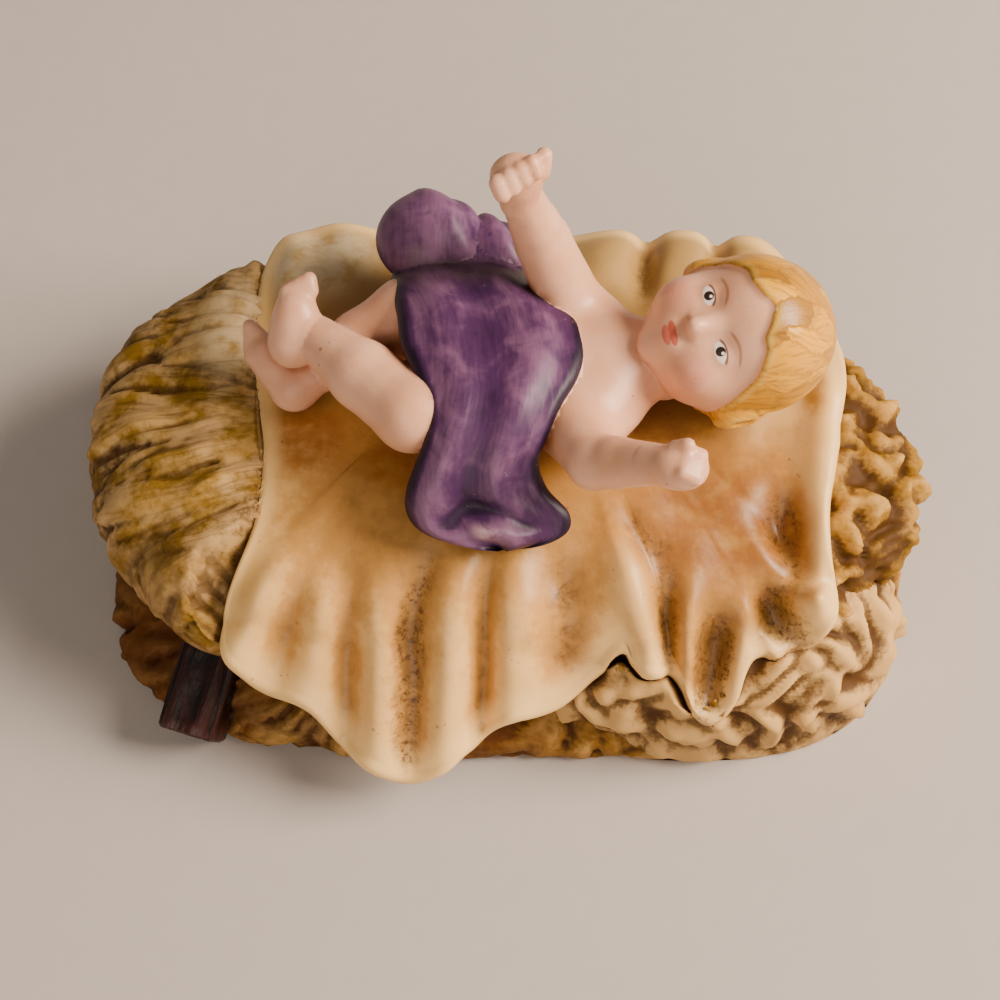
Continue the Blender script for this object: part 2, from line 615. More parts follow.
def sheet_top(turn, reach):
    """The sheet's upper side; turn goes round the hem, and reach goes from the middle to the hem."""
    hem = hem_points(turn)
    share = np.where(reach < SPINE_REACH, reach / SPINE_REACH, 1.0)
    beyond = np.maximum(0.0, (reach - SPINE_REACH) / (1.0 - SPINE_REACH))
    x_share = lerp(SPINE_SHARE[0] * share, 1.0, beyond)
    y_share = lerp(SPINE_SHARE[1] * share, 1.0, beyond)
    run_x = hem[..., 0] - SHEET_CENTRE[0]
    run_y = hem[..., 1] - SHEET_CENTRE[1]
    x = SHEET_CENTRE[0] + run_x * x_share
    y = SHEET_CENTRE[1] + run_y * y_share
    spread = np.hypot(run_x * x_share, run_y * y_share) / np.hypot(run_x, run_y)
    hanging = np.maximum(0.0, (spread - 0.42) / 0.58) ** 1.6
    lying = lerp(SHEET_MIDDLE, hem[..., 2] + SHEET_THICKNESS / 2, hanging)
    folds, dirt = fold_height(x, y)
    z = soft_larger(lying, bed_height(x, y) + SHEET_LIFT, 2.4) + 0.85 * folds * (1 - 0.2 * hanging)
    sway = folds * hanging * (1.0 - 0.7 * smooth_step(0.85, 1.0, spread))
    points = np.stack([
        x + 0.1 * sway * np.sign(x - SHEET_CENTRE[0]),
        y - 0.6 * sway * np.where(y < 0, 1.0, -1.0),
        z,
    ], axis=-1)
    points[..., 2] += 0.14 * soft_noise(points, 2.6, 41) + 0.3 * soft_noise(points, 6.0, 42)
    return points, np.stack([spread, folds, dirt], axis=-1)


# The map of the sheet's height: the size of its cells, its lowest x and y, and its cells each way
MAP_STEP = 0.4
MAP_LOW = -36.0
MAP_SIZE = 190


def map_cell(x, y):
    return tuple(np.clip(((place - MAP_LOW) / MAP_STEP).astype(int), 0, MAP_SIZE - 1) for place in (x, y))


def sheet_map():
    """The sheet's height, seen from above, over a square grid; empty places are very high."""
    turns = np.linspace(0.0, 1.0, 1400, endpoint=False)
    turn, reach = np.meshgrid(turns, np.linspace(0.02, 0.97, 220))
    points, _ = sheet_top(turn, reach)
    level = np.full((MAP_SIZE, MAP_SIZE), 99.0)
    np.minimum.at(level, map_cell(points[..., 0], points[..., 1]), points[..., 2])
    return level


SHEET_MAP = sheet_map()


def sheet_level(x, y):
    return SHEET_MAP[map_cell(x, y)]


def beyond_hem(x, y):
    """Distance outside the hem, negative under the sheet, and the hem's height at its nearest place."""
    hem = curve_points(HEM, np.linspace(0.0, 1.0, 277)[:-1], closed=True)
    after = np.roll(hem, -1, axis=0)
    best = np.full(x.shape, 1e9)
    height = np.zeros(x.shape)
    crossings = np.zeros(x.shape, dtype=int)
    for (from_x, from_y, level), (to_x, to_y, _) in zip(hem, after):
        apart = (x - from_x) ** 2 + (y - from_y) ** 2
        nearer = apart < best
        best = np.where(nearer, apart, best)
        height = np.where(nearer, level, height)
        if from_y != to_y:
            spans = (from_y > y) != (to_y > y)
            crossings += spans & (x < from_x + (y - from_y) * (to_x - from_x) / (to_y - from_y))
    return np.sqrt(best) * np.where(crossings % 2 == 1, -1.0, 1.0), height


def evened(heights, share):
    """Evens out the heights between rows, by a share for each row, where the rows crowd together."""
    share = 0.5 * share[1:-1, None]
    rounds = 10
    for _ in range(rounds):
        heights = heights.copy()
        beside = (np.roll(heights, 1, axis=1) + np.roll(heights, -1, axis=1))[1:-1]
        heights[1:-1] = lerp(heights[1:-1], (heights[:-2] + heights[2:] + beside) / 4, share)
    return heights


def sheet_body():
    turns = np.arange(SHEET_TURNS) / SHEET_TURNS
    outer = 1.0 - 0.66 * (1.0 - np.linspace(0.0, 1.0, 48)) ** 1.1
    reaches = np.concatenate([[0.06, 0.12, 0.18, 0.24, 0.29], outer])
    turn, reach = np.meshgrid(turns, reaches)
    top, top_flow = sheet_top(turn, reach)
    top[..., 2] = evened(top[..., 2], smooth_step(0.75, 0.5, reaches))
    out = unit(top[-1, :, :2] - np.array(SHEET_CENTRE))
    angle = np.linspace(0, math.pi, 6)[1:, None]
    lips = np.repeat(top[-1:], len(angle), axis=0)
    lips[..., :2] += out * (0.7 * np.sin(angle))[..., None]
    lips[..., 2] -= SHEET_THICKNESS * (1 - np.cos(angle)) / 2
    under, _ = sheet_top(*np.meshgrid(turns, np.linspace(0.97, 0.12, 10)))
    under[..., 2] -= SHEET_THICKNESS
    gap = under[..., 2] - bed_height(under[..., 0], under[..., 1])
    under[..., 2] -= np.clip(gap + 1.0, 0.0, 2.5) * smooth_step(5.0, 2.0, gap)
    rings = np.concatenate([top, lips, under])
    flow = np.concatenate([top_flow, np.broadcast_to(top_flow[-1], (len(rings) - len(top), len(turns), 3))])
    return grid_body("sheet", "sheet", rings, None, flow)


# The small cloth: rings along its length, from the bunched end behind to the front lobe

# Middle x, y and z, half width and half thickness of the cloth at each station
CLOTH_STATIONS = np.array([
    [-5.0, 19.6, 31.6, 3.6, 1.8],
    [-4.8, 18.0, 31.8, 5.0, 2.2],
    [-4.7, 16.2, 31.9, 6.0, 2.3],
    [-4.6, 13.8, 32.2, 6.7, 2.3],
    [-3.8, 11.0, 33.6, 7.2, 2.6],
    [-2.0, 7.6, 34.9, 8.4, 2.0],
    [-1.2, 3.8, 35.5, 8.7, 1.8],
    [-0.9, 0.2, 35.6, 7.6, 1.8],
    [-1.1, -2.7, 35.0, 6.2, 1.9],
    [-1.9, -5.3, 33.6, 5.7, 1.9],
    [-2.7, -7.0, 32.0, 5.8, 1.9],
    [-2.7, -8.7, 30.0, 6.8, 1.8],
    [-1.7, -10.2, 28.2, 8.0, 1.7],
    [-1.0, -11.6, 26.8, 7.6, 1.6],
    [-0.2, -12.8, 25.8, 5.4, 1.2],
])
CLOTH_RUN = 44.0

# Long folds of the small cloth: place across it from -1 to 1 at its start and end, width, height
CLOTH_FOLDS = [
    (-0.50, -0.62, 0.22, 0.60),
    (-0.05, -0.15, 0.22, -0.60),
    (0.55, 0.25, 0.20, 0.60),
    (0.85, 0.62, 0.14, -0.45),
]

# The knob at the cloth's front end: place across it, share along it, radius and height
FRONT_KNOB = (-0.4, 0.905, 2.3, 1.5)

# The gathered end of the cloth: name, middle and half sizes of its two round lobes
BUNCH_LOBES = [
    ("lobe_left", (-7.5, 18.2, 33.0), (5.4, 5.1, 4.1)),
    ("lobe_right", (-1.6, 17.6, 31.4), (3.9, 4.2, 3.2)),
]


def small_cloth():
    rows = 84
    turns = CLOTH_TURNS
    share = np.linspace(0.0, 1.0, rows)
    stations = curve_points(CLOTH_STATIONS, share)
    middle = stations[:, :3]
    tangent = np.gradient(middle, axis=0)
    side = np.array([1.0, 0.0, 0.0])
    lift = unit(np.cross(side, unit(tangent * (0.0, 1.0, 1.0))))
    lift = lift * np.sign(lift[:, 2:3])
    ends = np.sqrt(np.clip(1.0 - ((share - 0.5) / 0.5) ** 12, 0.03, 1.0))
    angle = np.arange(turns) / turns * 2 * math.pi
    across = signed_power(np.cos(angle), 0.8)
    away = signed_power(np.sin(angle), 0.8)
    rings = []
    flows = []
    for row in range(rows):
        place = share[row]
        half = stations[row, 3] * ends[row]
        thick = stations[row, 4] * ends[row]
        grown = smooth_step(0.2, 0.36, place)
        front = smooth_step(0.62, 0.95, place)
        wave = np.zeros(turns)
        for start, end, width, height in CLOTH_FOLDS:
            centre = lerp(start, end, place) + 0.08 * math.sin(9 * place + 6 * start)
            wave += height * np.exp(-0.5 * ((across - centre) / width) ** 2)
        wave *= (0.6 + 0.7 * front) * grown
        wave += 0.3 * np.exp(-0.5 * ((np.abs(across) - 0.93) / 0.09) ** 2) * grown
        drape = 0.5 * np.abs(across) ** 3
        from_knob = np.hypot(across * half - FRONT_KNOB[0], (place - FRONT_KNOB[1]) * CLOTH_RUN)
        wave += FRONT_KNOB[3] * np.exp(-(from_knob / FRONT_KNOB[2]) ** 2)
        behind = smooth_step(1.0, -1.0, (place - FRONT_KNOB[1]) * CLOTH_RUN)
        wave -= 0.6 * behind * np.exp(-((from_knob - 3.6) / 1.2) ** 2)
        lobes = 1.0 + front * 0.06 * np.cos(across * 3.2 * math.pi)
        up = np.where(away > 0, away * thick + (wave - drape) * np.clip(away * 2.0, 0, 1), away * thick)
        rings.append(middle[row] + side * (across * half * lobes)[:, None] + lift[row] * up[:, None])
        rim = 1.8 * smooth_step(0.80, 0.97, np.abs(across)) + 1.8 * (away < 0)
        rim = rim + 1.4 * smooth_step(0.955, 0.985, place)
        flows.append(np.stack([across * half, np.full(turns, place * CLOTH_RUN), wave - rim], axis=-1))
    return grid_body("cloth", "violet_cloth", np.array(rings), None, np.array(flows))


def bunch_lobe(name, centre, radii):
    turns = np.arange(LOBE_TURNS) / LOBE_TURNS * 2 * math.pi
    turn, polar = np.meshgrid(turns, np.linspace(0.08, math.pi - 0.08, 26))
    ball = np.stack([np.sin(polar) * np.cos(turn), np.sin(polar) * np.sin(turn), np.cos(polar)], axis=-1)
    rings = np.array(centre) + ball * np.array(radii)
    crest = np.exp(-((ball[..., 0] - 0.35 + 0.6 * ball[..., 1]) / 0.22) ** 2)
    crease = np.exp(-((ball[..., 0] - 0.85 + 0.6 * ball[..., 1]) / 0.18) ** 2)
    relief = 0.35 * crest - 0.45 * crease + 0.3 * soft_noise(rings, 4.0, 71)
    rings = rings + ball * (relief * smooth_step(-0.1, 0.5, ball[..., 2]))[..., None]
    shown = relief + 0.35 - 1.2 * smooth_step(0.2, -0.3, ball[..., 2])
    flow = np.stack([rings[..., 0], rings[..., 1], shown], axis=-1)
    return grid_body(name, "violet_cloth", rings, None, flow)


# The baby: smooth shapes measured as distances from their surface, then meshed


def ball(p, centre, radius):
    return np.linalg.norm(p - np.array(centre), axis=-1) - radius


def egg(p, centre, radii):
    q = p - np.array(centre)
    r = np.array(radii)
    near = np.linalg.norm(q / r, axis=-1)
    far = np.linalg.norm(q / r ** 2, axis=-1)
    return near * (near - 1.0) / np.maximum(far, 1e-6)


def limb(p, start, end, start_radius, end_radius):
    start = np.array(start, dtype=float)
    run = np.array(end, dtype=float) - start
    t = np.clip((p - start) @ run / np.dot(run, run), 0.0, 1.0)
    nearest = start + t[..., None] * run
    return np.linalg.norm(p - nearest, axis=-1) - lerp(start_radius, end_radius, t)


def blend(a, b, width):
    mix = np.clip(0.5 + 0.5 * (b - a) / width, 0.0, 1.0)
    return lerp(b, a, mix) - width * mix * (1.0 - mix)


def carve(a, b, width):
    return -blend(-a, b, width)


def joined(whole, parts):
    """Blends parts into the whole one by one; each comes with the width of its join."""
    for part, width in parts:
        whole = blend(whole, part, width)
    return whole


def blended(parts, width):
    return joined(parts[0], [(part, width) for part in parts[1:]])


def chain(p, places, radii, width):
    """Limbs from place to place, each with a radius at its start and one at its end."""
    ends = zip(places, places[1:])
    return blended([limb(p, *pair, *sizes) for pair, sizes in zip(ends, radii)], width)


ARM_RADII = ((3.4, 2.65), (2.65, 2.35), (2.35, 1.95))
LEG_RADII = ((4.5, 3.7), (3.6, 3.3), (3.3, 2.3))
FOOT_RADII = ((2.3, 2.3), (2.25, 2.1), (2.1, 2.0))


def arm_field(p, shoulder, elbow, wrist):
    forearm = lerp(np.array(elbow), np.array(wrist), 0.35)
    return chain(p, (shoulder, elbow, forearm, wrist), ARM_RADII, 0.5)


def body_field(p):
    trunk = blended([
        egg(p, (8.6, 3.8, 31.1), (5.8, 7.7, 4.9)),
        egg(p, (1.6, 3.4, 31.0), (6.6, 6.8, 5.5)),
        egg(p, (-4.6, 3.2, 30.4), (4.8, 7.2, 5.2)),
    ], 2.6)
    shoulders = blend(ball(p, (7.4, 9.0, 31.4), 3.4), ball(p, (7.2, -2.2, 31.2), 3.4), 1.0)
    neck = limb(p, (10.0, 4.2, 31.2), (17.0, 5.0, 32.8), 4.0, 3.9)
    arms = blend(
        arm_field(p, (7.0, 9.4, 31.6), (3.4, 12.8, 40.0), (1.3, 12.3, 47.4)),
        arm_field(p, (6.2, -2.6, 31.6), (8.2, -8.0, 34.0), (13.4, -11.2, 38.8)), 0.5)
    right_leg = ((-0.5, 0.2, 31.0), (-8.8, -2.0, 32.8), (-13.6, 2.4, 32.6), (-18.2, 6.8, 32.2))
    left_leg = ((-1.5, 7.0, 30.8), (-9.6, 10.4, 31.0), (-14.2, 8.2, 29.2), (-18.8, 6.0, 27.6))
    legs = blend(chain(p, right_leg, LEG_RADII, 0.7), chain(p, left_leg, LEG_RADII, 0.7), 0.8)
    return joined(trunk, [(shoulders, 2.0), (neck, 1.6), (arms, 1.4), (legs, 1.4)])


def digits_field(p, first, last, reach, count, radius):
    """A row of fingers or toes from the first to the last; each is a little slimmer than the one before."""
    first, last, reach = (np.array(value, dtype=float) for value in (first, last, reach))
    digits = []
    for index in range(count):
        start = lerp(first, last, index / (count - 1))
        taper = 1 - 0.06 * index
        digits.append(limb(p, start, start + reach, radius * taper, radius * (taper - 0.08)))
    return blended(digits, 0.12)


def hand_field(p, palm, wrist, fingers, thumb, width):
    hand = blend(egg(p, *palm), limb(p, *wrist), 0.8)
    return blend(hand, blend(digits_field(p, *fingers), limb(p, *thumb), 0.12), width)


def right_hand_field(p):
    palm = ((1.0, 12.2, 50.2), (2.5, 1.9, 2.4))
    wrist = ((1.3, 12.3, 46.6), (1.2, 12.2, 48.8), 1.95, 1.9)
    fingers = ((-0.7, 10.4, 51.4), (2.3, 11.9, 52.5), (0.4, -0.7, -0.7), 4, 0.88)
    thumb = ((3.1, 12.3, 50.8), (3.4, 13.0, 52.1), 0.95, 0.78)
    return hand_field(p, palm, wrist, fingers, thumb, 0.22)


def left_hand_field(p):
    palm = ((15.5, -12.5, 40.3), (2.4, 2.0, 1.9))
    wrist = ((12.8, -10.9, 38.4), (14.4, -11.9, 39.8), 1.95, 1.85)
    fingers = ((16.6, -13.9, 41.0), (17.2, -11.7, 41.3), (-1.2, 0.2, 0.6), 4, 0.72)
    thumb = ((14.9, -11.1, 41.4), (15.9, -11.3, 42.3), 0.8, 0.68)
    return hand_field(p, palm, wrist, fingers, thumb, 0.3)


def foot_field(p, ankle, heel, sole, *toes):
    instep = lerp(np.array(heel), np.array(sole), 0.6)
    foot = chain(p, (ankle, heel, instep, sole), FOOT_RADII, 0.9)
    return blend(foot, digits_field(p, *toes, 5, 0.85), 0.4)


def upper_foot_field(p):
    return foot_field(p, (-18.6, 6.9, 32.2), (-20.6, 7.0, 31.3), (-20.2, 9.2, 33.8),
                      (-18.8, 10.5, 35.0), (-21.1, 9.6, 34.4), (-0.1, 0.8, 0.7))


def lower_foot_field(p):
    return foot_field(p, (-19.0, 5.9, 27.6), (-20.8, 4.9, 26.7), (-23.4, 7.7, 28.2),
                      (-24.3, 9.2, 29.3), (-24.4, 6.7, 27.8), (-0.8, 0.7, 0.5))


# The head: its axes, its face and its hair

CROWN_AXIS = unit(CROWN_DIRECTION)
FACE_AXIS = unit(FACE_DIRECTION - CROWN_AXIS * np.dot(FACE_DIRECTION, CROWN_AXIS))
LEFT_AXIS = np.cross(CROWN_AXIS, FACE_AXIS)
HEAD_AXES = np.array([LEFT_AXIS, CROWN_AXIS, FACE_AXIS])

# Places on the head, in millimetres to its left, crown and face directions from its centre
EYE = (2.75, -0.9)
MOUTH_LEVEL = -5.1
HAIRLINE = 4.3
SWIRL_AXIS = unit(np.array([0.15, 0.86, -0.48]))
SWIRL_ROUND = 46.0


def hairline_height(left, crown, front):
    """Above zero where hair grows: low at the back and sides, with a soft scalloped edge in front."""
    edge = HAIRLINE - 0.10 * left ** 2 + 0.32 * np.cos(1.35 * left) + 0.06 * np.cos(3.3 * left + 1.0)
    forward = smooth_step(-3.5, 5.5, front)
    return crown - lerp(-6.5, edge, forward)


def hair_relief(left, crown, front):
    """Locks that sweep out from the swirl at the back of the crown, as height, tone and flow."""
    away = unit(np.stack([left, crown, front], axis=-1))
    first = unit(np.cross(SWIRL_AXIS, (1.0, 0.0, 0.0)))
    second = np.cross(SWIRL_AXIS, first)
    polar = np.arccos(np.clip(away @ SWIRL_AXIS, -1, 1))
    around = np.arctan2(away @ second, away @ first) / (2 * math.pi) + 0.06 * polar
    tufts = lay_tufts(51, SWIRL_ROUND, (0.0, 22.0), (3.0, 2.4), 3.8, 1.6, 0.17, (0.2, 0.45), (0.0, 0.7), 0.8)
    return straw_relief(around % 1.0 * SWIRL_ROUND, polar * 8.2, SWIRL_ROUND, tufts, 0.0)


def head_field(p):
    q = (p - HEAD_CENTRE) @ HEAD_AXES.T
    left, crown, front = q[..., 0], q[..., 1], q[..., 2]
    side = np.stack([np.abs(left), crown, front], axis=-1)
    skull = egg(side, (0, 1.5, -0.5), (7.1, 7.5, 7.9))
    jaw = egg(side, (0, -3.0, 1.3), (6.1, 5.8, 6.1))
    forehead = egg(side, (0, 3.0, 3.2), (5.2, 4.2, 4.6))
    cheek = ball(side, (3.1, -3.7, 4.5), 2.45)
    chin = ball(side, (0, -7.0, 4.6), 1.75)
    whole = joined(skull, [(jaw, 2.4), (forehead, 2.0), (cheek, 1.5), (chin, 1.3)])
    whole = carve(whole, egg(side, (2.7, -0.7, 8.9), (1.7, 1.15, 1.5)), 1.2)
    eyeball = ball(side, (2.65, -0.95, 5.65), 1.5)
    nose = limb(side, (0, -0.3, 6.9), (0, -2.6, 8.1), 0.55, 0.85)
    nostril = ball(side, (0.72, -2.85, 7.45), 0.5)
    mouth = egg(side, (0.0, -5.1, 6.15), (1.7, 1.35, 1.25))
    upper_lip = egg(side, (0.42, -4.75, 7.25), (0.75, 0.32, 0.42))
    lower_lip = egg(side, (0.0, -5.45, 7.15), (0.85, 0.36, 0.45))
    ear = egg(side, (7.0, -1.3, -0.7), (0.95, 2.2, 1.5))
    ear = carve(ear, egg(side, (7.9, -1.1, -0.4), (0.7, 1.3, 0.75)), 0.4)
    neck = limb(q, (0, -5.5, -1.5), (0, -7.6, -2.4), 3.8, 3.8)
    whole = joined(whole, [
        (eyeball, 0.35), (nose, 0.9), (nostril, 0.35), (mouth, 0.9),
        (upper_lip, 0.25), (lower_lip, 0.25), (ear, 0.5), (neck, 1.2),
    ])
    return whole - 0.3 * smooth_step(-0.35, 0.55, hairline_height(left, crown, front))


# From distances on a grid to a mesh


def shifted(*axes):
    """The ways to take a grid without its last or its first cell along each of the axes."""
    ways = [[slice(None)] * 3]
    for axis in axes:
        ways = [
            way[:axis] + [cells] + way[axis + 1:]
            for way in ways
            for cells in (slice(None, -1), slice(1, None))
        ]
    return [tuple(way) for way in ways]


def without_ambiguous_faces(values, step):
    """Fills in the checkerboard faces of the grid, so that the surface never meets itself."""
    values = values.copy()
    rounds = 12
    for _ in range(rounds):
        inside = values < 0
        changed = False
        for axes in ((0, 1), (0, 2), (1, 2)):
            corners = shifted(*axes)
            a, b, c, d = (inside[corner] for corner in corners)
            mixed = (a == d) & (b == c) & (a != b)
            changed = changed or mixed.any()
            for corner in corners:
                block = values[corner]
                block[mixed] = np.minimum(block[mixed], -0.02 * step)
        if not changed:
            break
    return values


def surface_net(values, low, step):
    """Points and four-sided faces of the surface where the values cross zero."""
    inside = values < 0
    shape = tuple(np.array(values.shape) - 1)
    total = np.zeros(shape + (3,))
    count = np.zeros(shape)
    crossings = []
    for axis in range(3):
        near, far = shifted(axis)
        crossing = inside[near] != inside[far]
        gap = np.where(crossing, values[near] - values[far], 1.0)
        place = np.stack(np.indices(crossing.shape), axis=-1).astype(float)
        place[..., axis] += values[near] / gap
        place *= crossing[..., None]
        for window in shifted(*(other for other in range(3) if other != axis)):
            total += place[window]
            count += crossing[window]
        crossings.append(crossing)
    used = count > 0
    number = np.cumsum(used.ravel()).reshape(used.shape) - 1
    points = total[used] / count[used][:, None] * step + np.array(low)
    faces = []
    for axis in range(3):
        first, second = (axis + 1) % 3, (axis + 2) % 3
        at = np.argwhere(crossings[axis])
        for other in (first, second):
            at = at[(at[:, other] > 0) & (at[:, other] < values.shape[other] - 1)]
        one, two = np.eye(3, dtype=int)[[first, second]]
        quad = np.stack([number[tuple((at - back).T)] for back in (one + two, two, 0 * one, one)], axis=-1)
        outgoing = inside[tuple(at.T)]
        quad[~outgoing] = quad[~outgoing][:, ::-1]
        faces.append(quad)
    return points, np.concatenate(faces).tolist()


def field_body(name, field, low, high, step):
    axes = [np.arange(low[axis], high[axis] + step, step) for axis in range(3)]
    values = field(np.stack(np.meshgrid(*axes, indexing="ij"), axis=-1))
    points, faces = surface_net(without_ambiguous_faces(values, step), low, step)
    return Body(name, points, faces, "skin")


def head_body():
    half = 12.0
    head = field_body("head", head_field, HEAD_CENTRE - half, HEAD_CENTRE + half, 0.325)
    q = (head.points - HEAD_CENTRE) @ HEAD_AXES.T
    hair = smooth_step(-0.15, 0.45, hairline_height(*q.T))
    height, tone, flow = hair_relief(*q.T)
    head.points = head.points + unit(head.points - HEAD_CENTRE) * (hair * (height + 0.1))[:, None]
    head.tone = tone
    head.flow = np.stack([flow[:, 0], flow[:, 1], hair], axis=-1)
    return head


def baby_bodies():
    return [
        field_body("body", body_field, (-24, -16, 20), (22, 18, 52), 0.5),
        head_body(),
        field_body("right_hand", right_hand_field, (-4, 8, 43), (7, 16, 55.5), 0.3),
        field_body("left_hand", left_hand_field, (9.5, -17, 35), (20, -7, 45), 0.3),
        field_body("upper_foot", upper_foot_field, (-24, 2.5, 28), (-15, 13.5, 39), 0.32),
        field_body("lower_foot", lower_foot_field, (-28, 1.5, 23), (-15.5, 12, 32.5), 0.32),
    ]


# One closed mesh from all the bodies

FINISHES = ["skin", "violet_cloth", "sheet", "straw", "wood"]


def mesh_object(body):
    mesh = bpy.data.meshes.new(body.name)
    mesh.from_pydata(((body.points + PLAN_SHIFT) * MM).tolist(), [], body.faces)
    for finish in FINISHES:
        mesh.materials.append(MATERIALS[finish])
    mesh.polygons.foreach_set("material_index", [FINISHES.index(body.finish)] * len(mesh.polygons))
    mesh.update()
    piece = bpy.data.objects.new(body.name, mesh)
    bpy.context.scene.collection.objects.link(piece)
    return piece


def union_of(objects):
    """Joins the closed meshes into one, leaving out everything that lies inside another."""
    whole = objects[0]
    for other in objects[1:]:
        modifier = whole.modifiers.new("join", "BOOLEAN")
        modifier.operation = "UNION"
        modifier.solver = "MANIFOLD"
        modifier.object = other
        bpy.context.view_layer.update()
        evaluated = whole.evaluated_get(bpy.context.evaluated_depsgraph_get())
        mesh = bpy.data.meshes.new_from_object(evaluated)
        whole.modifiers.clear()
        older = whole.data
        whole.data = mesh
        bpy.data.meshes.remove(older)
        spent = other.data
        bpy.data.objects.remove(other)
        bpy.data.meshes.remove(spent)
    return whole


# Numbers for the paint, worked out on the joined mesh


def values_of(items, name, width, kind=float):
    """Reads one value of every item of a mesh, such as the place of each vertex, into rows."""
    values = np.empty(len(items) * width, dtype=kind)
    items.foreach_get(name, values)
    return values.reshape(-1, width)


def smoothed(values, edges, rounds, share=0.6):
    """Averages the values with their neighbours' along the mesh's edges."""
    count = len(values)
    degree = np.maximum(np.bincount(edges.ravel(), minlength=count), 1)
    flat = values.reshape(count, -1).astype(float)
    for _ in range(rounds):
        near = np.empty_like(flat)
        for column in range(flat.shape[1]):
            near[:, column] = np.bincount(edges[:, 0], flat[edges[:, 1], column], count)
            near[:, column] += np.bincount(edges[:, 1], flat[edges[:, 0], column], count)
        flat = lerp(flat, near / degree[:, None], share)
    return flat.reshape(values.shape)


def shelter(mesh, points, normals, rays, reach):
    """How closed in each point is, from 0 in the open to 1 in a deep hollow."""
    mesh.calc_loop_triangles()
    corners = values_of(mesh.loop_triangles, "vertices", 3, np.int32)
    tree = BVHTree.FromPolygons(points.tolist(), corners.tolist())
    rng = np.random.default_rng(17)
    total = np.zeros(len(points))
    steady = np.where(np.abs(normals[:, 2:3]) < 0.9, (0.0, 0.0, 1.0), (1.0, 0.0, 0.0))
    sideways = unit(np.cross(normals, steady))
    upright = np.cross(normals, sideways)
    starts = points + normals * 0.06 * MM
    for ray in range(rays):
        ring = np.sqrt((ray + 0.5) / rays) * 0.95
        around = rng.uniform(0, 2 * math.pi, len(points))
        level = np.sqrt(1.0 - ring ** 2)
        ways = (
            sideways * (ring * np.cos(around))[:, None]
            + upright * (ring * np.sin(around))[:, None]
            + normals * level
        )
        cast = tree.ray_cast
        for index, (start, way) in enumerate(zip(starts.tolist(), ways.tolist())):
            distance = cast(start, way, reach)[3]
            if distance is not None:
                total[index] += 1.0 - distance / reach
    return total / rays


def nearest_source(points, bodies):
    """For each point, the number of the closest original point of all the bodies together."""
    sources = np.concatenate([body.points for body in bodies])
    tree = KDTree(len(sources))
    for index, source in enumerate(sources.tolist()):
        tree.insert(source, index)
    tree.balance()
    return np.array([tree.find(point)[1] for point in points.tolist()])


def paint_numbers(mesh, bodies):
    points = values_of(mesh.vertices, "co", 3)
    edges = values_of(mesh.edges, "vertices", 2, np.int32)
    normals = values_of(mesh.vertex_normals, "vector", 3)
    source = nearest_source(points / MM - PLAN_SHIFT, bodies)
    tone = np.concatenate([body.tone for body in bodies])[source]
    flow = np.concatenate([body.flow for body in bodies])[source]
    part = np.concatenate([np.full(len(body.points), PART_CODES[body.name]) for body in bodies])[source]
    rays = 14
    hollow = smoothed(shelter(mesh, points, normals, rays, 7 * MM), edges, 2)
    fine = np.sum((points - smoothed(points, edges, 5)) * normals, axis=1) / (0.10 * MM)
    broad = np.sum((points - smoothed(points, edges, 40)) * normals, axis=1) / (0.5 * MM)
    numbers = {
        "tone": tone,
        "hollow": hollow,
        "ridge": np.clip(smoothed(fine, edges, 1), -1, 1),
        "swell": np.clip(broad, -1, 1),
        "part": part,
    }
    for name, values in numbers.items():
        attribute = mesh.attributes.new(name, "FLOAT", "POINT")
        attribute.data.foreach_set("value", values.astype(np.float32))
    attribute = mesh.attributes.new("flow", "FLOAT_VECTOR", "POINT")
    attribute.data.foreach_set("vector", flow.astype(np.float32).ravel())


PART_GROUPS = [
    ["straw"],
    ["base", "core"],
    ["spill"],
    ["sheet"],
    ["cloth", "lobe_left", "lobe_right"],
    ["log_front", "log_back", "log_right"],
    ["body"],
    ["head"],
    ["right_hand", "left_hand"],
    ["upper_foot", "lower_foot"],
]
PART_CODES = {name: float(code) for code, names in enumerate(PART_GROUPS) for name in names}


# Paint, made of Blender's shader nodes


def linear(code):
    """A colour written as rrggbb, as the shader wants it."""
    channels = [int(code[at:at + 2], 16) / 255 for at in (0, 2, 4)]
    return [c / 12.92 if c <= 0.04045 else ((c + 0.055) / 1.055) ** 2.4 for c in channels] + [1.0]


